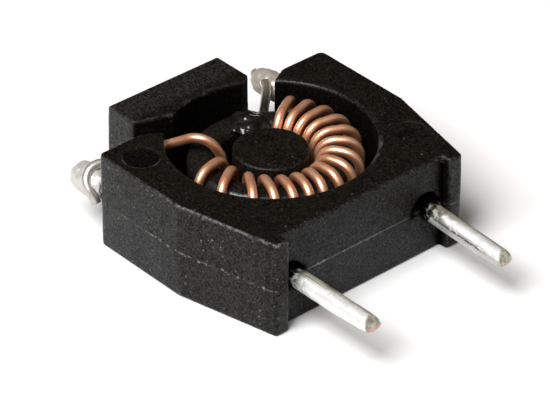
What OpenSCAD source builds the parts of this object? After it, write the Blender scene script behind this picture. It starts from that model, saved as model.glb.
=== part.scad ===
// Toroidal through-hole inductor: a moulded open housing with a wound ring core in its round well.
// The two lead wires run through the side walls in the parting plane of the moulding. They leave
// the front as pins and the back as short stubs, where the tails of the winding are soldered on.
// Millimetres, +X toward the pins, +Z up, origin on the underside below the axis of the core.

/* [Housing] */
// width across the straight sides
body_width = 12.65; // [12.4:0.05:13.6]
// width across the two front posts
front_width = 10.4; // [10:0.1:11.4]
// height of the moulding
body_height = 4.5; // [4.2:0.1:5.5]
// core axis to the front of the posts
front_reach = 6.25; // [6:0.05:7.5]
// core axis to the back faces of the side blocks
block_reach = 3.85; // [3.7:0.05:4.2]
// core axis to the back of the rear bar
back_reach = 6.45; // [6.1:0.05:7.2]
// core axis to the place where the sides start to taper
taper_start = 1.35; // [0.5:0.05:2]
// length of the rear bar from end to end
bar_length = 6.25; // [5.6:0.05:6.8]
// how far the rear bar sits off the middle, toward the start of the winding
bar_shift = 0.55; // [0:0.05:0.7]
// thickness of the rear bar at its end by the start of the winding
bar_depth_start = 1.75; // [1.5:0.05:1.9]
// thickness of the rear bar at its end by the end of the winding
bar_depth_end = 2.1; // [1.8:0.05:2.2]
// depth of the front recess between the posts
recess_depth = 0.45; // [0.2:0.05:0.7]
// width of each front post
post_width = 0.75; // [0.5:0.05:0.9]
// thickness of the floor under the coil
floor_thickness = 0.5; // [0.4:0.05:0.8]
// diameter of the hub in the middle of the well
hub_d = 3.3; // [2.8:0.1:3.4]
// lean of the outer faces to either side of the parting plane, in degrees
draft = 1.5; // [0.5:0.5:3]

/* [Coil] */
// outside diameter of the ring core
core_od = 7.1; // [6.8:0.1:7.3]
// inside diameter of the ring core
core_id = 4.6; // [4.5:0.05:5]
// top of the core below the rim of the well
core_drop = 0.78; // [0.7:0.02:1.1]
// diameter of the enamelled wire
wire_d = 0.43; // [0.3:0.01:0.43]
// turns on the core
turns = 17; // [10:1:17]
// room between the coil and the wall of the well
coil_room = 0.49; // [0.3:0.01:0.6]

/* [Leads] */
// diameter of the tinned lead wires
lead_d = 0.85; // [0.6:0.05:0.9]
// spacing of the two pins
lead_pitch = 7.62; // [7.2:0.02:7.8]
// length of the pins beyond the front recess
pin_length = 4.7; // [3:0.1:8]
// length of the stubs behind the side blocks
stub_length = 2.1; // [2:0.05:2.6]

/* [Hidden] */
$fn = 64;

wire_fit = 0.03;
wire_slack = 0.1;
lead_fit = 0.02;
lead_lap = 0.004;
drop_fit = 0.02;
wire_r = wire_d/2;
lead_r = lead_d/2;
parting = body_height/2;

cavity_r = core_od/2 + wire_fit + wire_d + coil_room;
half_width = body_width/2;
recess_x = front_reach - recess_depth;
recess_half = front_width/2 - post_width;
block_y = cavity_r - 0.4;
bar_in_start = bar_depth_start - back_reach;
bar_in_end = bar_depth_end - back_reach;
bar_start = -bar_length/2 - bar_shift;
bar_end = bar_length/2 - bar_shift;
block_corner = 0.5;
bar_corner = 0.2;
post_corner = 0.3;
inner_corner = 0.15;
rim_chamfer = 0.08;

// angles from straight back to the two sides of each wire slot, where it meets the well
slot_near = 25;
slot_far = 43;

core_z = floor_thickness + 2*wire_fit + wire_d + wire_slack;
core_top = body_height - core_drop;
hub_top = core_top + 0.25;
core_edge = 0.4;

stub_y = (cavity_r + half_width)/2;
pin_y = lead_pitch/2;
jog_front = recess_x - 1.2;
jog_back = jog_front - 3;
jog_bend = 1.2;
stub_tip = -block_reach - stub_length;

function unit(v) = v/norm(v);
function at(r, a) = [r*cos(a), r*sin(a)];

// points of an arc of radius r that rounds the corner v between its neighbours p and n
function arc(p, v, n, r, steps) =
    let (
        d1 = unit(v - p),
        d2 = unit(n - v),
        bend = acos(max(-1, min(1, d1*d2))),
        side = unit(d2 - (d1*d2)*d1),
        centre = v - d1*r*tan(bend/2) + side*r
    )
    [for (i = [0:steps]) let (a = bend*i/steps) centre - side*r*cos(a) + d1*r*sin(a)];

// a closed outline of [x, y, radius] corners, each rounded to its radius
function spot(corner) = [corner.x, corner.y];
function rounded(outline, steps) =
    let (last = len(outline) - 1)
    [for (i = [0:last])
        each arc(
            spot(outline[i == 0 ? last : i - 1]),
            spot(outline[i]),
            spot(outline[i == last ? 0 : i + 1]),
            outline[i].z,
            steps
        )];

// an open path with its inner corners rounded
function bent(path, r, steps) = concat(
    [path[0]],
    [for (i = [1:len(path) - 2]) each arc(path[i - 1], path[i], path[i + 1], r, steps)],
    [path[len(path) - 1]]
);

// plan of the moulding at the parting plane, anticlockwise from the back of the start side
outline = [
    [-block_reach, -half_width, block_corner],
    [taper_start, -half_width, block_corner],
    [front_reach, -front_width/2, post_corner],
    [front_reach, -recess_half, inner_corner],
    [recess_x, -recess_half, inner_corner],
    [recess_x, recess_half, inner_corner],
    [front_reach, recess_half, inner_corner],
    [front_reach, front_width/2, post_corner],
    [taper_start, half_width, block_corner],
    [-block_reach, half_width, block_corner],
    [-block_reach, block_y, block_corner],
    [bar_in_end, bar_end, inner_corner],
    [-back_reach, bar_end, bar_corner],
    [-back_reach, bar_start, bar_corner],
    [bar_in_start, bar_start, inner_corner],
    [-block_reach, -block_y, block_corner]
];

// a cutter that leans an outer face inward, above and below the parting plane
module draft_cut(from, to, overrun) {
    a = spot(outline[from]);
    edge = spot(outline[to]) - a;
    reach = tan(draft)*(parting + 1);
    skin = 0.004;
    translate(a)
        rotate(atan2(edge.y, edge.x))
            rotate([90, 0, 90])
                translate([0, 0, -overrun])
                    linear_extrude(norm(edge) + 2*overrun)
                        polygon([
                            [-1, -1],
                            [reach, -1],
                            [skin, parting],
                            [reach, body_height + 1],
                            [-1, body_height + 1]
                        ]);
}

// the round well, with the hub left standing and a small chamfer round the rim
module well() {
    difference() {
        translate([0, 0, floor_thickness])
            cylinder(h = body_height, r = cavity_r);
        cylinder(h = hub_top, d = hub_d);
    }
    translate([0, 0, body_height - rim_chamfer])
        cylinder(h = 2*rim_chamfer, r1 = cavity_r, r2 = cavity_r + 2*rim_chamfer);
}

// a wire slot from the well to the notch behind a side block, in the upper half of the moulding
module wire_slot(side, bar_in, bar_tip) {
    outer = [-block_reach - 1, side*(block_y + 1)];
    translate([0, 0, parting])
        linear_extrude(body_height)
            polygon([
                at(cavity_r - 0.3, side*(180 - slot_far)),
                at(cavity_r, side*(180 - slot_far)),
                [-block_reach, side*block_y],
                outer,
                [bar_in, bar_tip],
                at(cavity_r, side*(180 - slot_near)),
                at(cavity_r - 0.3, side*(180 - slot_near))
            ]);
}

// the half-round relief in the upper half of the recess, over a pin
module pin_pocket(y) {
    pocket_r = 0.75;
    pocket_depth = 0.6;
    pocket_shift = 0.3;
    intersection() {
        translate([recess_x - pocket_depth, y - pocket_shift, parting])
            rotate([0, 90, 0])
                cylinder(h = pocket_depth + 0.1, r = pocket_r);
        translate([0, -half_width, parting])
            cube([2*front_reach, body_width, body_height]);
    }
}

// the shallow round marks that the ejector pins leave in the top face
module ejector_marks() {
    mark_r = 0.8;
    mark_depth = 0.06;
    for (p = [[1.45 - block_reach, 0.35 - stub_y], [front_reach - 2.75, stub_y - 0.65]])
        translate([p.x, p.y, body_height - mark_depth])
            cylinder(h = 1, r = mark_r);
}

module housing() {
    color([0.16, 0.15, 0.14])
        difference() {
            linear_extrude(body_height)
                polygon(rounded(outline, 6));
            for (i = [0, 1, 2, 6, 7, 8, 9, 11, 12, 13])
                draft_cut(i, i + 1, 0.25);
            draft_cut(15, 0, 0.25);
            draft_cut(4, 5, 0);
            well();
            wire_slot(-1, bar_in_start, bar_start);
            wire_slot(1, bar_in_end, bar_end);
            lead(-1, lead_r + lead_fit);
            lead(1, lead_r + lead_fit);
            pin_pocket(-pin_y);
            pin_pocket(pin_y);
            ejector_marks();
        }
}

module core() {
    profile = [
        [core_id/2, core_z, core_edge],
        [core_od/2, core_z, core_edge],
        [core_od/2, core_top, core_edge],
        [core_id/2, core_top, core_edge]
    ];
    color([0.3, 0.27, 0.23])
        rotate_extrude()
            polygon(rounded(profile, 4));
}

// a straight length of lead wire along x
module lead_run(from, to, y, r) {
    translate([from, y, 0])
        rotate([0, 90, 0])
            cylinder(h = to - from, r = r);
}

// a bend in a lead wire, a hair fuller than the straight lengths and lapped over their ends
module lead_bend(from, bend, r) {
    lap = 1;
    rotate(from - lap)
        rotate_extrude(angle = bend + 2*lap)
            translate([jog_bend, 0])
                circle(r + lead_lap);
}

// one lead wire: pin at the front, jog round the well inside the moulding, stub at the back
// where the mould gripped it, at the mouth of the recess, it swells and tapers down to the free pin
module lead(side, r) {
    bend = atan2(stub_y - pin_y, jog_front - jog_back);
    trim = jog_bend*tan(bend/2);
    slope = norm([stub_y - pin_y, jog_front - jog_back]);
    grip_from = recess_x - 0.05 + lead_r - r;
    grip_to = front_reach + 0.1;
    mirror([0, side > 0 ? 0 : 1, 0])
        translate([0, 0, parting]) {
            lead_run(grip_to - 0.1, recess_x + pin_length, pin_y, r);
            translate([grip_from, pin_y, 0])
                rotate([0, 90, 0])
                    cylinder(h = grip_to - grip_from, r1 = r + 5*lead_lap, r2 = r + lead_lap);
            lead_run(jog_front + trim, grip_from + 0.1, pin_y, r + lead_lap);
            translate([jog_front + trim, pin_y + jog_bend, 0])
                lead_bend(-90 - bend, bend, r);
            translate([jog_front, pin_y, 0])
                rotate(180 - bend)
                    lead_run(trim, slope - trim, 0, r);
            translate([jog_back - trim, stub_y - jog_bend, 0])
                lead_bend(90 - bend, bend, r);
            lead_run(stub_tip, jog_back - trim, stub_y, r);
        }
}

module lead_start() {
    color([0.75, 0.75, 0.73])
        lead(-1, lead_r);
}

module lead_end() {
    color([0.75, 0.75, 0.73])
        lead(1, lead_r);
}

// the winding: corners of the path of the wire, turn by turn, from one tail to the other
wire_in = core_id/2 - wire_fit - wire_r;
wire_out = core_od/2 + wire_fit + wire_r;
wire_low = core_z - wire_slack - wire_fit - wire_r;
wire_high = core_top + wire_slack + wire_fit + wire_r;
wire_bend = 0.75;
sweep_sides = 8;

// place of a turn round the core: hand-wound turns bunch up and spread out in slow waves
first_turn = -117.5;
last_turn = 128.6;
bunching = [9, 2, 3.5];
function share(k) = (k - 1)/(turns - 2);
function lay(k) =
    first_turn + (last_turn - first_turn)*k/(turns - 1)
    + bunching*[for (wave = [1:3]) sin(180*wave*share(k))];

// how much further round the core a turn is at its outer end than at its inner end; one turn has slipped
slipped_turn = 3;
slip = 3.4;
function lean(k) = max(-6, min(15, 15 - 7*(16*k/(turns - 1) - 4)));

// the last turns were pulled less tight, and stand off the core at their outer ends
loose_turns = 5;
loosest = coil_room - 0.09;
function stand_off(k) = loosest*(1 - pow(min(1, (turns - 1 - k)/loose_turns), 2));
function outer_foot(k, z) =
    concat(at(wire_out + stand_off(k), lay(k) + lean(k)/2 + (k == slipped_turn ? slip : 0)), z);
function inner_foot(k, z) = concat(at(wire_in, lay(k) - lean(k)/2), z);

// where each tail passes through its wire slot, and where the last turn comes up to it
gate_start = concat(at(cavity_r + 0.42, -142.4), parting + 1.1);
last_rise = 143;
gate_end = concat(at(cavity_r - 0.15, last_rise), parting + 0.5);

// the first tail comes up beside its stub, crosses it on top and goes through the slot
over_stub = lead_r + lead_fit + wire_r + 0.04;
hook_x = -block_reach - 1.4;
hook = [
    [-block_reach - wire_r - 0.05, -stub_y - over_stub, parting - 0.5],
    [hook_x - 0.2, -stub_y - over_stub - 0.06, parting + over_stub + 0.06],
    [hook_x + 0.5, 0.65 - stub_y, parting + over_stub],
    gate_start
];

// the first turn begins with a loose loop; the last ends beside its stub and runs out past the tip
tail_start = concat(
    hook,
    [
        concat(at(wire_out - 0.45, -133.2), wire_high + 0.315),
        concat(at(wire_in + 0.56, -127.7), wire_high + 0.475),
        inner_foot(0, wire_high - 0.5)
    ]
);
tail_end = [
    concat(at(wire_out, last_rise), wire_low),
    gate_end,
    [stub_tip + 0.5, stub_y - 0.8, parting + 0.4],
    [stub_tip - 0.8, stub_y - 0.4, parting + 0.2]
];
turn_path = [
    for (k = [0:turns - 1]) each concat(
        k == 0 ? [] : [outer_foot(k, wire_high), inner_foot(k, wire_high)],
        [inner_foot(k, wire_low)],
        k < turns - 1 ? [outer_foot(k + 1, wire_low)] : []
    )
];

// a round bar swept along a path; the rings are set square to it by the direction round the core
module sweep(path, r) {
    last = len(path) - 1;
    rings = [
        for (i = [0:last])
            let (
                along = unit(path[min(i + 1, last)] - path[max(i - 1, 0)]),
                turn = atan2(path[i].y, path[i].x),
                round_core = [-sin(turn), cos(turn), 0],
                across = unit(round_core - (round_core*along)*along),
                rise = cross(along, across)
            )
            for (j = [0:sweep_sides - 1])
                let (a = 360*j/sweep_sides) path[i] + r*(cos(a)*across + sin(a)*rise)
    ];
    walls = [
        for (i = [0:last - 1], j = [0:sweep_sides - 1])
            let (a = i*sweep_sides, b = a + sweep_sides, n = (j + 1)%sweep_sides)
            each [[a + j, b + j, b + n], [a + j, b + n, a + n]]
    ];
    ends = [
        [for (j = [0:sweep_sides - 1]) j],
        [for (j = [sweep_sides - 1:-1:0]) last*sweep_sides + j]
    ];
    polyhedron(points = rings, faces = concat(walls, ends));
}

module winding() {
    color([0.72, 0.42, 0.22])
        sweep(bent(concat(tail_start, turn_path, tail_end), wire_bend, 4), wire_r);
}

// a blob of solder on a stub, with the end of the stub and the tail of the winding bedded in it
solder_reach = 1;
module solder(side, middle, swell, tail) {
    steps = 14;
    fullness = 3;
    profile = [
        for (i = [0:steps])
            let (u = -cos(180*i/steps)) [swell*pow(1 - pow(abs(u), fullness), 1/fullness), solder_reach*u]
    ];
    difference() {
        translate(middle)
            rotate([0, 90, 0])
                rotate_extrude()
                    polygon(profile);
        lead(side, lead_r + lead_fit);
        sweep(bent(tail, wire_bend, 4), wire_r + lead_fit);
    }
}

// the first blob fills the inside of the hooked tail
solder_start_r = 0.68;
module solder_start() {
    color([0.8, 0.8, 0.78])
        solder(-1, [hook_x + 0.1, -stub_y - 0.12, parting - 0.08], solder_start_r, hook);
}

// the second lies between its stub and the straight tail, and runs out with the tail
solder_end_r = 0.62;
module solder_end() {
    color([0.8, 0.8, 0.78])
        solder(1, [stub_tip + 0.35, stub_y - 0.45, parting + 0.13], solder_end_r, tail_end);
}

// a dome of adhesive over the gap between the core and the hub
module adhesive_drop() {
    drop_r = 0.95;
    drop_h = 0.42;
    dome_r = (drop_r*drop_r + drop_h*drop_h)/(2*drop_h);
    drop_turn = 162;
    base = core_top + drop_fit;
    centre = at(core_id/2 + 0.15, drop_turn);
    color([0.35, 0.3, 0.24])
        difference() {
            intersection() {
                translate([centre.x, centre.y, base + drop_h - dome_r])
                    sphere(dome_r);
                translate([centre.x, centre.y, base])
                    cylinder(h = 1, r = drop_r + 0.1);
            }
            cylinder(h = hub_top + drop_fit, r = hub_d/2 + drop_fit);
        }
}

housing();
core();
winding();
lead_start();
lead_end();
solder_start();
solder_end();
adhesive_drop();
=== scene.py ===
import math

import bmesh
import bpy
import numpy as np
from mathutils import Matrix, Vector, noise
from mathutils.kdtree import KDTree


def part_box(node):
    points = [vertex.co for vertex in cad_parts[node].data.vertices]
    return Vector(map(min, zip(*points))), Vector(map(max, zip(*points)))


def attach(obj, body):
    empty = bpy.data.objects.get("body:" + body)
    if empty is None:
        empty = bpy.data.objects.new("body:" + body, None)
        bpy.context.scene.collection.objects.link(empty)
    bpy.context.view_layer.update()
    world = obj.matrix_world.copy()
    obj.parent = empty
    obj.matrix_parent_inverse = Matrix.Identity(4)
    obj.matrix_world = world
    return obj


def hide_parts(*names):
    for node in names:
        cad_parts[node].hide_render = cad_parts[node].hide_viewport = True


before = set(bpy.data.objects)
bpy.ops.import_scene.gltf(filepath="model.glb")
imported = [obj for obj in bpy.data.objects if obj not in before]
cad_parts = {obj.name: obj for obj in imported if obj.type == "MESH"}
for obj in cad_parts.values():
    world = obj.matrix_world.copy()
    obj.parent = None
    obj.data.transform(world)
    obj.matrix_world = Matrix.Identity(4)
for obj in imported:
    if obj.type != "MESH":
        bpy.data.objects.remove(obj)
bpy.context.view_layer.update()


# Housing: one block of black filled moulding compound, pressed in a mould that parts half-way up.
# Its edges are softened and rubbed pale, the parting line shows as a broken pale seam, and pale
# filler and dust speckle every face.
MM = 0.001
parting = 2.25
top = 4.5
well_r = 4.5
hub_r = 1.7
recess_x = 5.8
block_back = -3.85
bar_face = -4.9
gap_reach = 5.9
mark_r = 0.8
mark_start = Vector((-2.4, -5.0625, 4.44))
mark_end = Vector((3.5, 4.7625, 4.44))


def add(tree, kind, inputs=None, **settings):
    """Adds a shader node, sets its options, and fills or links its inputs."""
    made = tree.nodes.new("ShaderNode" + kind)
    for name, value in settings.items():
        setattr(made, name, value)
    for name, value in (inputs or {}).items():
        if isinstance(value, bpy.types.NodeSocket):
            tree.links.new(value, made.inputs[name])
        else:
            made.inputs[name].default_value = value
    return made


def calc(tree, operation, a, b=0.0, c=0.0):
    """One step of arithmetic on values or sockets."""
    return add(tree, "Math", {0: a, 1: b, 2: c}, operation=operation).outputs[0]


def times(tree, first, *others):
    """The product of several values or sockets."""
    for other in others:
        first = calc(tree, "MULTIPLY", first, other)
    return first


def most(tree, first, *others):
    """The largest of several values or sockets."""
    for other in others:
        first = calc(tree, "MAXIMUM", first, other)
    return first


def ramp(tree, value, low, high, out_low=0.0, out_high=1.0):
    """A smooth rise from out_low to out_high while the value goes from low to high."""
    places = {"Value": value, "From Min": low, "From Max": high, "To Min": out_low, "To Max": out_high}
    return add(tree, "MapRange", places, interpolation_type="SMOOTHSTEP").outputs[0]


def blend(tree, share, first, second):
    """The first colour, turning to the second as share goes from 0 to 1."""
    return add(tree, "Mix", {0: share, 6: first, 7: second}, data_type="RGBA").outputs[2]


def measure(tree, operation, first, second=(0.0, 0.0, 0.0)):
    """A number from vectors: a length, a distance or a dot product."""
    return add(tree, "VectorMath", {0: first, 1: second}, operation=operation).outputs["Value"]


def places_mm(tree):
    """Object coordinates in millimetres."""
    spot = add(tree, "TexCoord").outputs["Object"]
    return add(tree, "VectorMath", {0: spot, "Scale": 1 / MM}, operation="SCALE").outputs[0]


def axis_distance(tree, spot):
    """How far a place is from the upright axis of the well."""
    flat = add(tree, "VectorMath", {0: spot, 1: (1, 1, 0)}, operation="MULTIPLY").outputs[0]
    return measure(tree, "LENGTH", flat)


def group(name, inputs, output):
    """A node group with named number inputs and one output, still empty but for scaled places."""
    tree = bpy.data.node_groups.new(name, "ShaderNodeTree")
    for socket, value in inputs.items():
        made = tree.interface.new_socket(socket, in_out="INPUT", socket_type="NodeSocketFloat")
        made.default_value = value
    tree.interface.new_socket(output, in_out="OUTPUT", socket_type="NodeSocketFloat")
    given = tree.nodes.new("NodeGroupInput").outputs
    scaled = {0: places_mm(tree), 1: given[0]}
    spot = add(tree, "VectorMath", scaled, operation="DIVIDE").outputs[0]
    return tree, given, spot, tree.nodes.new("NodeGroupOutput").inputs[0]


def pale_specks():
    """Round flecks of uneven size, one to some of the cells of a cell pattern."""
    tree, given, spot, result = group("pale specks", {"Cell": 0.3, "Share": 0.2, "Reach": 0.25}, "Mask")
    cells = add(tree, "TexVoronoi", {"Vector": spot, "Scale": 1.0})
    lot = add(tree, "SeparateColor", {0: cells.outputs["Color"]})
    chosen = calc(tree, "LESS_THAN", lot.outputs[0], given["Share"])
    size = times(tree, given["Reach"], ramp(tree, lot.outputs[1], 0.0, 1.0, 0.35, 1.0))
    inside = ramp(tree, calc(tree, "DIVIDE", cells.outputs["Distance"], size), 1.0, 0.45)
    strength = ramp(tree, lot.outputs[2], 0.0, 1.0, 0.3, 1.0)
    tree.links.new(times(tree, chosen, inside, strength), result)
    return tree


def clouds():
    """Soft patches, for colour that drifts over a surface."""
    inputs = {"Size": 1.0, "Detail": 3.0, "Low": 0.35, "High": 0.65}
    tree, given, spot, result = group("clouds", inputs, "Mask")
    field = add(tree, "TexNoise", {"Vector": spot, "Scale": 1.0, "Detail": given["Detail"]}).outputs[0]
    tree.links.new(ramp(tree, field, given["Low"], given["High"]), result)
    return tree


def grit():
    """A random value to each cell of a fine cell pattern, over soft noise of the same size."""
    tree, given, spot, result = group("grit", {"Cell": 0.1, "Share": 0.5}, "Value")
    cells = add(tree, "TexVoronoi", {"Vector": spot, "Scale": 1.0}).outputs["Color"]
    lot = add(tree, "SeparateColor", {0: cells}).outputs[0]
    field = {"Vector": spot, "Scale": 0.9, "Detail": 6.0, "Roughness": 0.65}
    soft = ramp(tree, add(tree, "TexNoise", field).outputs[0], 0.3, 0.7)
    tree.links.new(add(tree, "Mix", {0: given["Share"], 2: soft, 3: lot}).outputs[0], result)
    return tree


specks_group = pale_specks()
clouds_group = clouds()
grit_group = grit()


def use(tree, made, inputs):
    """Places a node group in a tree and gives its output."""
    holder = tree.nodes.new("ShaderNodeGroup")
    holder.node_tree = made
    for name, value in inputs.items():
        holder.inputs[name].default_value = value
    return holder.outputs[0]


def material(name):
    """A new material with its node tree and its shader."""
    made = bpy.data.materials.new(name)
    made.use_nodes = True
    return made, made.node_tree, made.node_tree.nodes["Principled BSDF"]


def node_in_mm(node):
    """The shape of a CAD node in millimetres, with its points welded."""
    weld = 0.002
    shape = bmesh.new()
    shape.from_mesh(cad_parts[node].data)
    bmesh.ops.scale(shape, vec=Vector((1 / MM,) * 3), verts=shape.verts)
    bmesh.ops.remove_doubles(shape, verts=shape.verts, dist=weld)
    return shape


def rounded_copy(node, name, voxel, passes, share):
    """A mesh of a CAD node in millimetres with its edges softened, thinned to a share of its faces."""
    shape = node_in_mm(node)
    rough = bpy.data.meshes.new(name + "_rough")
    shape.to_mesh(rough)
    shape.free()
    holder = bpy.data.objects.new(name + "_rough", rough)
    bpy.context.scene.collection.objects.link(holder)
    skin = holder.modifiers.new("skin", "REMESH")
    skin.mode = "VOXEL"
    skin.voxel_size = voxel
    soften = holder.modifiers.new("soften", "SMOOTH")
    soften.factor = 0.5
    soften.iterations = passes
    thin = holder.modifiers.new("thin", "DECIMATE")
    thin.ratio = share
    mesh = bpy.data.meshes.new_from_object(holder.evaluated_get(bpy.context.evaluated_depsgraph_get()))
    bpy.data.objects.remove(holder)
    mesh.name = name
    return mesh


def edge_finder(node, convex):
    """A search tree of points along the sharp outer or inner edges of a CAD node, in millimetres."""
    sharp_angle = math.radians(35)
    step = 0.05
    shape = node_in_mm(node)
    points = []
    for edge in shape.edges:
        sharp = len(edge.link_faces) == 2 and edge.calc_face_angle() > sharp_angle
        if sharp and edge.is_convex == convex:
            first, second = edge.verts[0].co, edge.verts[1].co
            count = max(1, round((second - first).length / step))
            points += [first.lerp(second, i / count) for i in range(count + 1)]
    shape.free()
    finder = KDTree(len(points))
    for index, point in enumerate(points):
        finder.insert(point, index)
    finder.balance()
    return finder


def fall_off(distance, reach):
    """1 at no distance, fading like a bell over the reach."""
    return math.exp(-((distance / reach) ** 2))


def in_scene(mesh, name, slot, *nodes):
    """Puts a mesh made in millimetres into the scene in place of CAD nodes."""
    mesh.transform(Matrix.Scale(MM, 4))
    piece = bpy.data.objects.new(name, mesh)
    bpy.context.scene.collection.objects.link(piece)
    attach(piece, "root")
    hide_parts(*nodes)


housing_mesh = rounded_copy("housing", "moulded_housing", voxel=0.05, passes=22, share=0.3)
ridges = edge_finder("housing", True)
inner_edges = edge_finder("housing", False)
rounding = 0.065
rub_width = 0.038
nook_width = 0.28
nook_top = 4.2
rim_width = 0.4
rim_rub = 0.05
edge_rub = 0.22
taper_y = -4.9
taper_start = -1.6
taper_fade = 2.6
mark_clear = 1.0
chips = [
    ((-4.3, -0.85, 4.4), 0.22, 1.0), ((-4.1, -2.0, 4.3), 0.25, 0.8), ((-4.45, 0.25, 4.4), 0.18, 0.8),
    ((3.3, 3.1, 4.45), 0.45, 0.9), ((3.9, 2.3, 4.45), 0.4, 0.6), ((2.9, -3.4, 4.45), 0.5, 0.5),
    ((6.1, -5.0, 4.4), 0.5, 0.9),
]
rub = housing_mesh.attributes.new("rub", "FLOAT", "POINT")
nook = housing_mesh.attributes.new("nook", "FLOAT", "POINT")
for vertex, worn, darkened in zip(housing_mesh.vertices, rub.data, nook.data):
    place = vertex.co
    near = fall_off(max(0.0, ridges.find(place)[2] - rounding), rub_width)
    on_rim = place.xy.length < well_r + rim_width
    on_taper = place.y < taper_y and place.z > top - 0.5
    along_taper = max(0.0, min(1.0, (place.x - taper_start) / taper_fade)) if on_taper else 0.0
    share = rim_rub if on_rim else max(edge_rub, along_taper)
    for centre, reach, strength in chips:
        share += strength * fall_off((place - Vector(centre)).length, reach)
    if min((place - mark_start).length, (place - mark_end).length) < mark_clear:
        share = 0.0
    worn.value = min(1.0, near * share)
    # The nook attribute is painted shade, darkest at inner corners below the top.
    darkened.value = fall_off(inner_edges.find(place)[2], nook_width) if place.z < nook_top else 0.0
housing_mesh.shade_smooth()

compound, tree, shader = material("moulding_compound")
spot = places_mm(tree)
x, y, z = add(tree, "SeparateXYZ", {0: spot}).outputs
from_axis = axis_distance(tree, spot)

# The compound itself: dark grains, slow drifts of brown, and a paler film of painted light on the far
# part of the near side and on the bar, standing in for the brighter reflection there.
grain = use(tree, grit_group, {"Cell": 0.075, "Share": 0.45})
drift = use(tree, clouds_group, {"Size": 1.1, "Detail": 4.0, "Low": 0.3, "High": 0.7})
colour = blend(tree, grain, (0.0036, 0.0028, 0.002, 1), (0.0175, 0.0135, 0.0094, 1))
colour = blend(tree, times(tree, drift, 0.5), colour, (0.0095, 0.0078, 0.0046, 1))
painted_light_side = times(tree, ramp(tree, x, -1.2, -3.8), ramp(tree, y, -6.1, -6.25))
film = most(tree, painted_light_side, ramp(tree, x, bar_face + 0.3, bar_face - 0.2))
film = times(tree, film, ramp(tree, grain, 0.1, 0.9, 0.2, 0.7))
colour = blend(tree, film, colour, (0.04, 0.038, 0.034, 1))

# Pale flecks of filler and dust, fewer on the top.
pale = (0.3, 0.3, 0.3, 1)
fine = use(tree, specks_group, {"Cell": 0.12, "Share": 0.2, "Reach": 0.42})
coarse = use(tree, specks_group, {"Cell": 0.28, "Share": 0.36, "Reach": 0.27})
dusty = use(tree, clouds_group, {"Size": 0.9, "Detail": 3.0, "Low": 0.35, "High": 0.65})
flecks = most(tree, times(tree, fine, 0.55), coarse)
flecks = times(tree, flecks, ramp(tree, dusty, 0.0, 1.0, 0.35, 1.0))
flecks = times(tree, flecks, ramp(tree, z, top - 0.15, top - 0.05, 1.0, 0.6))
colour = blend(tree, times(tree, flecks, 0.7), colour, pale)

# The parting seam: a broken line with crumbs, clearest in the recess and faint toward the rear.
off_seam = calc(tree, "ABSOLUTE", calc(tree, "SUBTRACT", z, parting))
outside = ramp(tree, from_axis, well_r + 0.15, well_r + 0.3)
seam = times(tree, ramp(tree, off_seam, 0.055, 0.015), outside)
broken = use(tree, clouds_group, {"Size": 0.35, "Detail": 5.0, "Low": 0.48, "High": 0.66})
crumbs = use(tree, specks_group, {"Cell": 0.24, "Share": 0.45, "Reach": 0.5})
recess = times(tree, ramp(tree, x, recess_x + 0.2, recess_x + 0.1),
               ramp(tree, x, recess_x - 0.2, recess_x - 0.1))
line = calc(tree, "MULTIPLY_ADD", broken, 0.45, ramp(tree, recess, 0.0, 1.0, 0.02, 0.26))
crumbs = times(tree, crumbs, ramp(tree, off_seam, 0.1, 0.05), outside)
seam_pale = most(tree, times(tree, seam, line), crumbs)
seam_pale = times(tree, seam_pale, ramp(tree, x, -3.9, -0.5, 0.3, 1.0))
colour = blend(tree, seam_pale, colour, pale)

rubbed = add(tree, "Attribute", attribute_name="rub").outputs["Fac"]
patchy = use(tree, clouds_group, {"Size": 0.17, "Detail": 5.0, "Low": 0.3, "High": 0.7})
colour = blend(tree, times(tree, rubbed, patchy), colour, (0.145, 0.145, 0.145, 1))

# The two round ejector marks: dark inside, and the near one with a pale rim toward the front.
from_start = measure(tree, "DISTANCE", spot, mark_start)
from_end = measure(tree, "DISTANCE", spot, mark_end)
inside_start = ramp(tree, from_start, mark_r + 0.02, mark_r - 0.14)
inside_end = ramp(tree, from_end, mark_r + 0.02, mark_r - 0.14)
off_rim = calc(tree, "ABSOLUTE", calc(tree, "SUBTRACT", from_start, mark_r))
toward_front = measure(tree, "DOT_PRODUCT", spot, (0.6, -0.8, 0))
rim_start = times(tree, ramp(tree, off_rim, 0.07, 0.02), ramp(tree, toward_front, 2.4, 3.1))
colour = blend(tree, times(tree, rim_start, patchy), colour, (0.1, 0.1, 0.098, 1))
marks = most(tree, inside_start, times(tree, inside_end, broken))
marks = times(tree, marks, ramp(tree, grain, 0.2, 0.9, 0.8, 0.3))

# Painted shade: the well, the gap behind the blocks, the recess, inner corners and the lead exit
# pockets are painted dark where shade falls; the ejector marks share the mask for their own dark
# colour.
in_well = times(tree, ramp(tree, from_axis, well_r + 0.06, well_r),
                ramp(tree, from_axis, hub_r - 0.04, hub_r + 0.02),
                ramp(tree, z, top - 0.06, top - 0.16))
behind = times(tree, ramp(tree, x, bar_face - 0.05, bar_face + 0.05),
               ramp(tree, x, block_back + 0.15, block_back - 0.05),
               ramp(tree, z, top - 0.1, top - 0.2),
               ramp(tree, from_axis, gap_reach + 0.05, gap_reach - 0.05))
nooks = add(tree, "Attribute", attribute_name="nook").outputs["Fac"]
for lead_exit in ((5.55, 3.5, 2.55), (5.6, -4.2, 2.5)):
    nooks = most(tree, nooks, ramp(tree, measure(tree, "DISTANCE", spot, lead_exit), 0.62, 0.3))
shade = times(tree, recess, ramp(tree, z, top - 0.1, top - 0.2, 0.0, 0.22))
shade_and_marks = most(tree, times(tree, most(tree, in_well, behind), 0.62), shade, nooks, marks)
colour = blend(tree, shade_and_marks, colour, (0.0012, 0.001, 0.0009, 1))

# Where shade is painted, the reflection is taken out too.
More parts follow.
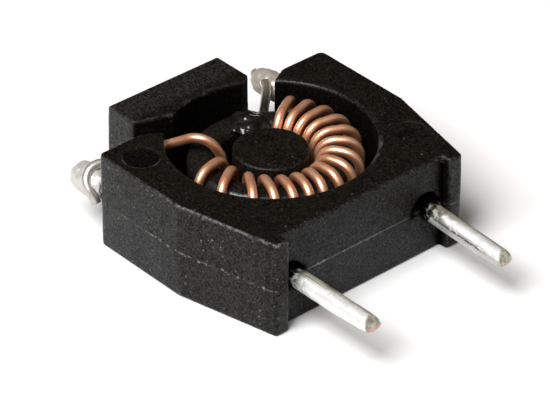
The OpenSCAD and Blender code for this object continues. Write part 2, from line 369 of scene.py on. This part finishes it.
sheen = times(tree, ramp(tree, grain, 0.1, 0.9, 0.1, 1.0), calc(tree, "SUBTRACT", 1.0, shade_and_marks))
rough = most(tree, ramp(tree, drift, 0.0, 1.0, 0.38, 0.46), shade_and_marks)
height = calc(tree, "ADD", times(tree, grain, 0.8), times(tree, drift, 0.6))
height = calc(tree, "ADD", height, times(tree, seam, 0.2))
bump = add(tree, "Bump", {"Height": height, "Strength": 0.4, "Distance": 0.02 * MM}).outputs[0]
tree.links.new(colour, shader.inputs["Base Color"])
tree.links.new(rough, shader.inputs["Roughness"])
tree.links.new(calc(tree, "SUBTRACT", 1.0, sheen), shader.inputs["Metallic"])
shader.inputs["Specular IOR Level"].default_value = 0.38
shader.inputs["Specular Tint"].default_value = (0.88, 0.94, 1.0, 1)
tree.links.new(bump, shader.inputs["Normal"])
housing_mesh.materials.append(compound)
in_scene(housing_mesh, "moulded_housing", "moulding", "housing")


# Core: a ring of pressed iron powder with rounded edges under a thin dark coating, held in the well
# by its winding and a drop of glue. A pale patch on its front top edge is a painted highlight.
core_low, core_high = (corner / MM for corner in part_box("core"))
core_in = 2.3
core_out = core_high.x
glint_place = (1.3, -3.2, 3.6)

coating, tree, shader = material("coated_powder")
spot = places_mm(tree)
z = add(tree, "SeparateXYZ", {0: spot}).outputs["Z"]
edge = times(tree, ramp(tree, axis_distance(tree, spot), core_out - 0.35, core_out - 0.15),
             ramp(tree, z, core_high.z - 0.4, core_high.z - 0.2),
             ramp(tree, measure(tree, "DISTANCE", spot, glint_place), 0.75, 0.35))
patchy = use(tree, clouds_group, {"Size": 0.4, "Detail": 3.0, "Low": 0.35, "High": 0.6})
powder = use(tree, clouds_group, {"Size": 0.12, "Detail": 4.0, "Low": 0.3, "High": 0.7})
flecks = use(tree, specks_group, {"Cell": 0.3, "Share": 0.3, "Reach": 0.2})
colour = blend(tree, powder, (0.0032, 0.0025, 0.002, 1), (0.0135, 0.0102, 0.0072, 1))
colour = blend(tree, times(tree, flecks, 0.4), colour, (0.2, 0.18, 0.15, 1))
# Painted highlight: the pale patch on the front top edge.
colour = blend(tree, times(tree, edge, patchy), colour, (0.5, 0.5, 0.49, 1))
bump = add(tree, "Bump", {"Height": powder, "Strength": 0.5, "Distance": 0.02 * MM}).outputs[0]
tree.links.new(colour, shader.inputs["Base Color"])
tree.links.new(ramp(tree, powder, 0.0, 1.0, 0.35, 0.55), shader.inputs["Roughness"])
shader.inputs["Specular IOR Level"].default_value = 0.3
tree.links.new(bump, shader.inputs["Normal"])
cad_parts["core"].data.materials.clear()
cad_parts["core"].data.materials.append(coating)


# Winding: one length of copper wire under clear enamel, wound by hand through the core. A tail at
# each end goes out through a wire slot to a stub, and the tails are tinned from the slot on.
wire_d = 0.43
wire_r = wire_d / 2
wire_fit = 0.03
wire_slack = 0.1
wire_bend = 0.75
wire_bend_steps = 10
wire_sides = 16
turns = 17
first_turn = -117.5
turns_span = 246.1
lean_most = 15.0
lean_least = -6.0
lean_step = 7
lean_from = 4
loose_gap = 0.4
loose_turns = 5
wire_in = core_in - wire_fit - wire_r
wire_out = core_out + wire_fit + wire_r
wire_low = core_low.z - wire_slack - wire_fit - wire_r
wire_high = core_high.z + wire_slack + wire_fit + wire_r
lead_r = 0.425
lead_fit = 0.02
stub_y = 5.4125
stub_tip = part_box("lead_start")[0].x / MM
over_stub = lead_r + lead_fit + wire_r + 0.04
slipped_turn = 3
slip = 3.4


def at(radius, angle, z):
    """A point by radius, angle in degrees and height."""
    turn = math.radians(angle)
    return np.array([radius * math.cos(turn), radius * math.sin(turn), z])


def arc(before, corner, after, radius, steps):
    """Points of the arc that rounds a corner of a path."""
    first = (corner - before) / np.linalg.norm(corner - before)
    second = (after - corner) / np.linalg.norm(after - corner)
    bend = math.acos(max(-1.0, min(1.0, float(first @ second))))
    side = second - (first @ second) * first
    side /= np.linalg.norm(side)
    centre = corner - first * radius * math.tan(bend / 2) + side * radius
    angles = [bend * i / steps for i in range(steps + 1)]
    return [centre - side * radius * math.cos(a) + first * radius * math.sin(a) for a in angles]


def bent(path, radius, steps):
    """An open path with its inner corners rounded."""
    made = [path[0]]
    for before, corner, after in zip(path, path[1:], path[2:]):
        made += arc(before, corner, after, radius, steps)
    return made + [path[-1]]


def tube(name, path, radii, sides):
    """A round bar along a path, with its ends closed."""
    points = np.array(path)
    along = np.gradient(points, axis=0)
    along /= np.linalg.norm(along, axis=1)[:, None]
    across = np.cross(along[0], (0.0, 0.0, 1.0) if abs(along[0][2]) < 0.9 else (1.0, 0.0, 0.0))
    angles = [2 * math.pi * j / sides for j in range(sides)]
    shape = bmesh.new()
    rings = []
    for point, way, radius in zip(points, along, radii):
        across = across - (across @ way) * way
        across /= np.linalg.norm(across)
        rise = np.cross(way, across)
        rings.append([shape.verts.new(point + radius * (math.cos(a) * across + math.sin(a) * rise))
                      for a in angles])
    for ring, following in zip(rings, rings[1:]):
        for j in range(sides):
            n = (j + 1) % sides
            shape.faces.new((ring[j], ring[n], following[n], following[j]))
    shape.faces.new(rings[0][::-1])
    shape.faces.new(rings[-1])
    mesh = bpy.data.meshes.new(name)
    shape.to_mesh(mesh)
    shape.free()
    return mesh


def lay(k):
    """Angle of a turn round the core: the turns bunch up and spread out in slow waves."""
    share = 180 * (k - 1) / (turns - 2)
    waves = [9, 2, 3.5]
    wander = sum(size * math.sin(math.radians((n + 1) * share)) for n, size in enumerate(waves))
    return first_turn + turns_span * k / (turns - 1) + wander


def lean(k):
    """How much further round the core a turn is at its outer end than at its inner end."""
    return max(lean_least, min(lean_most, lean_most - lean_step * (k - lean_from)))


def stand_off(k):
    """How far a turn stands off the core at its outer end: the last turns were pulled less tight."""
    return loose_gap * (1 - min(1.0, (turns - 1 - k) / loose_turns) ** 2)


def outer_foot(k, z):
    """Where a turn runs up or down outside the core."""
    return at(wire_out + stand_off(k), lay(k) + lean(k) / 2 + (slip if k == slipped_turn else 0), z)


def inner_foot(k, z):
    """Where a turn runs up or down inside the core."""
    return at(wire_in, lay(k) - lean(k) / 2, z)


hook_x = block_back - 1.4
last_rise = 143
wire_path = [
    np.array([block_back - wire_r - 0.05, -stub_y - over_stub, parting - 0.5]),
    np.array([hook_x - 0.2, -stub_y - over_stub - 0.06, parting + over_stub + 0.06]),
    np.array([hook_x + 0.5, 0.65 - stub_y, parting + over_stub]),
    at(well_r + 0.42, -142.4, parting + 1.1),
    at(wire_out - 0.45, -133.2, wire_high + 0.315),
    at(wire_in + 0.56, -127.7, wire_high + 0.475),
    inner_foot(0, wire_high - 0.5),
]
for k in range(turns):
    if k > 0:
        wire_path += [outer_foot(k, wire_high), inner_foot(k, wire_high)]
    wire_path.append(inner_foot(k, wire_low))
    if k < turns - 1:
        wire_path.append(outer_foot(k + 1, wire_low))
wire_path += [
    at(wire_out, last_rise, wire_low),
    at(well_r - 0.15, last_rise, parting + 0.5),
    np.array([stub_tip + 0.5, stub_y - 0.8, parting + 0.4]),
    np.array([stub_tip - 0.8, stub_y - 0.4, parting + 0.2]),
]
wire_line = bent(wire_path, wire_bend, wire_bend_steps)
wire_mesh = tube("enamelled_winding", wire_line, [wire_r] * len(wire_line), wire_sides)
wire_mesh.shade_smooth()

enamel, tree, shader = material("enamelled_copper")
spot = places_mm(tree)
x, y = add(tree, "SeparateXYZ", {0: spot}).outputs[:2]
tone = use(tree, clouds_group, {"Size": 0.5, "Detail": 3.0, "Low": 0.3, "High": 0.7})
spots = use(tree, clouds_group, {"Size": 0.12, "Detail": 4.0, "Low": 0.55, "High": 0.75})
colour = blend(tree, tone, (0.96, 0.43, 0.23, 1), (1.0, 0.58, 0.37, 1))
colour = blend(tree, times(tree, spots, 0.6), colour, (0.36, 0.13, 0.06, 1))
# Painted shade: the wire's flanks, where neighbouring turns face each other round the core, are
# darkened.
round_core = add(tree, "VectorMath", {0: (0, 0, 1), 1: spot}, operation="CROSS_PRODUCT").outputs[0]
round_core = add(tree, "VectorMath", {0: round_core}, operation="NORMALIZE").outputs[0]
flank_shade = measure(tree, "DOT_PRODUCT", add(tree, "NewGeometry").outputs["Normal"], round_core)
flank_shade = ramp(tree, calc(tree, "ABSOLUTE", flank_shade), 0.62, 1.0, 0.0, 0.8)
colour = blend(tree, flank_shade, colour, (0.3, 0.09, 0.035, 1))
end_side = ramp(tree, y, -0.5, 0.5)
dip_line = ramp(tree, y, -0.5, 0.5, block_back + 0.05, block_back + 0.7)
dipped = ramp(tree, calc(tree, "SUBTRACT", x, dip_line), 0.0, -0.3)
tin = blend(tree, spots, (0.6, 0.56, 0.51, 1), (0.4, 0.34, 0.28, 1))
past_slot = ramp(tree, x, block_back, hook_x)
burnt = blend(tree, past_slot, (0.05, 0.045, 0.03, 1), (0.4, 0.35, 0.29, 1))
colour = blend(tree, dipped, colour, blend(tree, end_side, tin, burnt))
tree.links.new(colour, shader.inputs["Base Color"])
shader.inputs["Metallic"].default_value = 0.7
tree.links.new(ramp(tree, spots, 0.0, 1.0, 0.36, 0.46), shader.inputs["Roughness"])
shader.inputs["Coat Weight"].default_value = 0.8
shader.inputs["Coat Roughness"].default_value = 0.16
wire_mesh.materials.append(enamel)
in_scene(wire_mesh, "enamelled_winding", "enamelled_wire", "winding")


# Adhesive: a drop of clear brown glue that was run into the gap between the core and the hub and
# set glossy, with a wrinkled skin.
glue, tree, shader = material("cured_glue")
wrinkle = use(tree, clouds_group, {"Size": 0.5, "Detail": 2.0, "Low": 0.2, "High": 0.8})
colour = blend(tree, wrinkle, (0.004, 0.0035, 0.003, 1), (0.014, 0.013, 0.011, 1))
bump = add(tree, "Bump", {"Height": wrinkle, "Strength": 0.6, "Distance": 0.1 * MM}).outputs[0]
tree.links.new(colour, shader.inputs["Base Color"])
tree.links.new(bump, shader.inputs["Normal"])
shader.inputs["Roughness"].default_value = 0.16


def lumpy(mesh, size, depth):
    """Moves the points of a mesh in and out along their normals by a smooth noise."""
    for vertex, normal in zip(mesh.vertices, [n.vector.copy() for n in mesh.vertex_normals]):
        vertex.co += normal * depth * noise.noise(vertex.co / size)
    mesh.shade_smooth()


drop_mesh = rounded_copy("adhesive_drop", "glue_drop", voxel=0.04, passes=3, share=0.8)
lumpy(drop_mesh, size=0.35, depth=0.1)
drop_mesh.materials.append(glue)
in_scene(drop_mesh, "glue_drop", "adhesive", "adhesive_drop")


# Leads: two tinned copper wires, cut to length, that run through the side walls. Each is a pin at
# the front and a stub at the back. The tin is bright and stained where it leaves the housing, the
# side of each pin turned away from the lamp is painted with shade, and the cut ends show copper.
pin_y = 3.81
pin_tip = 10.5
pin_steps = 80
lead_sides = 32
jog_front = 4.6
jog_back = 1.6
jog_bend = 1.2
jog_bend_steps = 6
exit_x = 5.6
stain_near = 6.2
stain_far = 6.9
flash_near = 5.78
flash_far = 5.98
sway_length = 0.8
thin_length = 1.8
thin_share = 0.5
blunt_length = 0.4
swell_share = 0.02
swell_rate = 1.7
cut_depth = 0.01


def lead_path(side, droop, sway):
    """The line of a lead from its stub's tip to its pin's tip. The pin sags and leans a little."""
    corners = [
        np.array([stub_tip, side * stub_y, parting]),
        np.array([jog_back, side * stub_y, parting]),
        np.array([jog_front, side * pin_y, parting]),
        np.array([pin_tip, side * pin_y, parting]),
    ]
    line = bent(corners, jog_bend, jog_bend_steps)
    tip = line.pop()
    last = line[-1]
    line += [last + (tip - last) * i / pin_steps for i in range(1, pin_steps + 1)]
    made = []
    for point in line:
        out = max(0.0, point[0] - exit_x)
        bend = min(1.0, out / sway_length)
        made.append(point - np.array([0, sway * bend * bend * (3 - 2 * bend), out * droop]))
    return made


tinned, tree, shader = material("tinned_copper")
spot = places_mm(tree)
x, y = add(tree, "SeparateXYZ", {0: spot}).outputs[:2]
facing = add(tree, "NewGeometry").outputs["True Normal"]
far_side = ramp(tree, y, -1.0, 1.0)

# Bright tin with drawn scratches, pits, and stains that end a little way out from the housing.
drawn = add(tree, "VectorMath", {0: spot, 1: (0.7, 6.0, 6.0)}, operation="MULTIPLY").outputs[0]
streaks = add(tree, "TexNoise", {"Vector": drawn, "Scale": 1.0, "Detail": 4.0}).outputs[0]
pits = use(tree, clouds_group, {"Size": 0.16, "Detail": 4.0, "Low": 0.58, "High": 0.72})
lumps = use(tree, clouds_group, {"Size": 0.5, "Detail": 2.0, "Low": 0.2, "High": 0.8})
stains = use(tree, clouds_group, {"Size": 0.25, "Detail": 4.0, "Low": 0.34, "High": 0.6})
past_stain = calc(tree, "SUBTRACT", x, ramp(tree, far_side, 0.0, 1.0, stain_near, stain_far))
by_exit = ramp(tree, past_stain, 1.2, -0.1, 0.2, 1.0)
scratched = most(tree, times(tree, ramp(tree, streaks, 0.6, 0.7), 0.5), pits)
darkened = most(tree, times(tree, scratched, 0.6), times(tree, stains, by_exit))
colour = blend(tree, lumps, (0.95, 0.94, 0.91, 1), (1.0, 0.995, 0.975, 1))
colour = blend(tree, times(tree, darkened, 0.8), colour, (0.1, 0.1, 0.075, 1))
grime = times(tree, ramp(tree, past_stain, 0.3, -0.3), ramp(tree, far_side, 0.0, 1.0, 0.25, 0.88))
film = blend(tree, stains, (0.26, 0.27, 0.22, 1), (0.03, 0.032, 0.024, 1))
colour = blend(tree, grime, colour, film)

# Painted shade: brown-grey on each pin's side turned up and away from the lamp, and grey on the far
# pin's underside; the far pin also has a dark, broken score.
lee = measure(tree, "DOT_PRODUCT", facing, (0, 0.71, 0.7))
rim = calc(tree, "SUBTRACT", lee, ramp(tree, x, 6.4, 9.0, 0.3, 0.62))
lee_shade = times(tree, ramp(tree, rim, 0.0, 0.25), ramp(tree, streaks, 0.35, 0.6, 0.98, 0.74))
colour = blend(tree, lee_shade, colour, (0.16, 0.14, 0.09, 1))
underside_shade = times(tree, ramp(tree, lee, -0.38, -0.5, 0.0, 0.6), far_side)
colour = blend(tree, underside_shade, colour, (0.3, 0.295, 0.265, 1))
front = measure(tree, "DOT_PRODUCT", facing, (0, -0.93, 0.36))
score = times(tree, ramp(tree, front, 0.985, 0.997), far_side, ramp(tree, x, 9.8, 9.2))
score = times(tree, score, ramp(tree, stains, 0.35, 0.65))
colour = blend(tree, score, colour, (0.06, 0.06, 0.05, 1))

# The cutter's slope at the tip, and black flash of the compound on the wire where it comes out.
nipped = add(tree, "SeparateXYZ", {0: facing}).outputs["X"]
cut = blend(tree, stains, (0.74, 0.7, 0.58, 1), (0.3, 0.27, 0.19, 1))
colour = blend(tree, ramp(tree, nipped, 0.2, 0.45, 0.0, 0.85), colour, cut)
ragged = calc(tree, "MULTIPLY_ADD", stains, -0.35, x)
flash_end = ramp(tree, far_side, 0.0, 1.0, flash_near, flash_far)
past_flash = calc(tree, "SUBTRACT", ragged, flash_end)
flash = times(tree, ramp(tree, past_flash, 0.3, -0.12), ramp(tree, x, 5.0, 5.2))
colour = blend(tree, flash, colour, (0.004, 0.0035, 0.003, 1))

dull = most(tree, lee_shade, grime)
metal = most(tree, ramp(tree, dull, 0.0, 1.0, 0.48, 0.0), flash)
rough = most(tree, ramp(tree, darkened, 0.0, 1.0, 0.38, 0.6), dull, flash)
height = calc(tree, "SUBTRACT", lumps, times(tree, darkened, 0.3))
bump = add(tree, "Bump", {"Height": height, "Strength": 0.4, "Distance": 0.05 * MM}).outputs[0]
tree.links.new(colour, shader.inputs["Base Color"])
tree.links.new(metal, shader.inputs["Metallic"])
tree.links.new(rough, shader.inputs["Roughness"])
shader.inputs["Specular IOR Level"].default_value = 0.3
tree.links.new(bump, shader.inputs["Normal"])

cut_copper, tree, shader = material("cut_copper")
smear = use(tree, clouds_group, {"Size": 0.2, "Detail": 3.0, "Low": 0.3, "High": 0.7})
colour = blend(tree, smear, (0.5, 0.3, 0.22, 1), (0.68, 0.52, 0.44, 1))
tree.links.new(colour, shader.inputs["Base Color"])
shader.inputs["Metallic"].default_value = 0.8
shader.inputs["Roughness"].default_value = 0.5


def nip(mesh, droop, bevel):
    """Slopes the top of a pin's tip as the cutter's jaws left it, and thins the tip from below."""
    for vertex in mesh.vertices:
        axis = parting - max(0.0, vertex.co.x - exit_x) * droop
        past = max(0.0, vertex.co.x - (pin_tip - bevel)) / bevel
        thinned = max(0.0, vertex.co.x - (pin_tip - thin_length)) / thin_length
        if vertex.co.z < axis:
            vertex.co.z = axis + (vertex.co.z - axis) * (1 - thin_share * thinned)
        vertex.co.z = min(vertex.co.z, axis + lead_r * (1 - past))


for name, node, side, droop, sway, blunt, bevel in (
        ("tinned_lead_start", "lead_start", -1, 0.0, 0.0, 0.02, 0.3),
        ("tinned_lead_end", "lead_end", 1, 0.052, 0.2, 0.2, 0.28)):
    line = lead_path(side, droop, sway)
    narrow = [max(0.0, (p[0] - pin_tip) / blunt_length + 1) ** 2 for p in line]
    swell = [lead_r * (1 + swell_share * noise.noise(Vector(p) * swell_rate)) for p in line]
    mesh = tube(name, line, [r * (1 - blunt * n) for r, n in zip(swell, narrow)], lead_sides)
    nip(mesh, droop, bevel)
    mesh.shade_smooth()
    mesh.materials.append(tinned)
    mesh.materials.append(cut_copper)
    for face in mesh.polygons:
        if face.center.x > pin_tip - cut_depth:
            face.material_index = 1
            face.use_smooth = False
    in_scene(mesh, name, "tinned_wire", node)


# Solder: a frozen spindle of soft solder on each stub, melted on with an iron. It has run over the
# tail of the winding and joins it to the lead. The far one is browner with burnt flux.
frozen, tree, shader = material("frozen_solder")
y = add(tree, "SeparateXYZ", {0: places_mm(tree)}).outputs["Y"]
lumps = use(tree, clouds_group, {"Size": 0.4, "Detail": 3.0, "Low": 0.2, "High": 0.8})
colour = blend(tree, lumps, (0.58, 0.55, 0.51, 1), (0.68, 0.66, 0.62, 1))
colour = blend(tree, ramp(tree, y, 0.0, 2.0, 0.0, 0.6), colour, (0.34, 0.26, 0.2, 1))
bump = add(tree, "Bump", {"Height": lumps, "Strength": 0.4, "Distance": 0.05 * MM}).outputs[0]
tree.links.new(colour, shader.inputs["Base Color"])
shader.inputs["Metallic"].default_value = 0.4
tree.links.new(ramp(tree, lumps, 0.0, 1.0, 0.35, 0.5), shader.inputs["Roughness"])
tree.links.new(bump, shader.inputs["Normal"])
for node in ("solder_start", "solder_end"):
    mesh = rounded_copy(node, "frozen_" + node, voxel=0.035, passes=2, share=0.8)
    lumpy(mesh, size=0.3, depth=0.05)
    mesh.materials.append(frozen)
    in_scene(mesh, "frozen_" + node, "solder", node)


# Floor: a plain white sheet of paper that the housing stands on. The camera sees it a little more
# evenly than the light does.
floor_reach = 1.0
floor_mesh = bpy.data.meshes.new("floor")
corners = [(x * floor_reach, y * floor_reach, 0) for x, y in ((-1, -1), (1, -1), (1, 1), (-1, 1))]
floor_mesh.from_pydata(corners, [], [(0, 1, 2, 3)])
floor = bpy.data.objects.new("floor", floor_mesh)
bpy.context.scene.collection.objects.link(floor)
sheet, tree, shader = material("white_sheet")
fibre = add(tree, "TexNoise", {"Vector": places_mm(tree), "Scale": 0.8, "Detail": 3.0}).outputs[0]
colour = blend(tree, fibre, (0.87, 0.865, 0.86, 1), (0.89, 0.885, 0.88, 1))
seen = add(tree, "LightPath").outputs["Is Camera Ray"]
tree.links.new(blend(tree, seen, colour, (0.87, 0.865, 0.86, 1)), shader.inputs["Base Color"])
shader.inputs["Roughness"].default_value = 0.9
shader.inputs["Specular IOR Level"].default_value = 0.1
floor_mesh.materials.append(sheet)


# Light: a soft lamp from the front left, a weak warm ceiling, and a room that is bright in front
# and dark behind.
def lamp(name, direction, distance, size, power, colour):
    """A square area lamp that shines on the object from a direction."""
    data = bpy.data.lights.new(name, "AREA")
    data.size = size
    data.energy = power
    data.color = colour
    made = bpy.data.objects.new(name, data)
    way = Vector(direction).normalized()
    made.location = way * distance
    made.rotation_euler = way.to_track_quat("Z", "Y").to_euler()
    bpy.context.scene.collection.objects.link(made)


lamp("window", direction=(0.084, -0.564, 0.821), distance=0.6, size=0.34, power=5.2,
     colour=(0.98, 0.99, 1.0))
lamp("ceiling", direction=(0.0, 0.0, 1.0), distance=0.7, size=0.7, power=0.45,
     colour=(1.0, 0.88, 0.74))
bright_side = (0.73, -0.65, 0.2)
room = bpy.data.worlds.new("room")
room.use_nodes = True
tree = room.node_tree
toward = measure(tree, "DOT_PRODUCT", add(tree, "TexCoord").outputs["Generated"], bright_side)
glow = blend(tree, ramp(tree, toward, 0.1, 0.75), (0.02, 0.017, 0.014, 1), (0.3, 0.29, 0.28, 1))
tree.links.new(glow, tree.nodes["Background"].inputs["Color"])
bpy.context.scene.world = room


# Camera: a long lens from the front, a third of the way up, where both pins point past it. Its place
# was fitted to the housing's corners, the rim of the well and the pins.
image_w = 550
focal_px = 3500
azimuth = math.radians(48.34)
elevation = math.radians(33.97)
roll = math.radians(0.34)
target = Vector((1.089, -0.723, 2.178))
distance = 146.8
back = Vector((math.sin(azimuth) * math.cos(elevation), -math.cos(azimuth) * math.cos(elevation),
               math.sin(elevation)))
right = Vector((0, 0, 1)).cross(back).normalized()
up = back.cross(right)
right, up = right * math.cos(roll) + up * math.sin(roll), up * math.cos(roll) - right * math.sin(roll)
camera_data = bpy.data.cameras.new("camera")
camera_data.sensor_width = 36.0
camera_data.sensor_fit = "HORIZONTAL"
camera_data.lens = camera_data.sensor_width * focal_px / image_w
camera_data.clip_start = 0.01
camera = bpy.data.objects.new("camera", camera_data)
turned = Matrix((right, up, back)).transposed().to_4x4()
camera.matrix_world = Matrix.Translation((target + back * distance) * MM) @ turned
bpy.context.scene.collection.objects.link(camera)
bpy.context.scene.camera = camera
bpy.context.scene.view_settings.view_transform = "Standard"
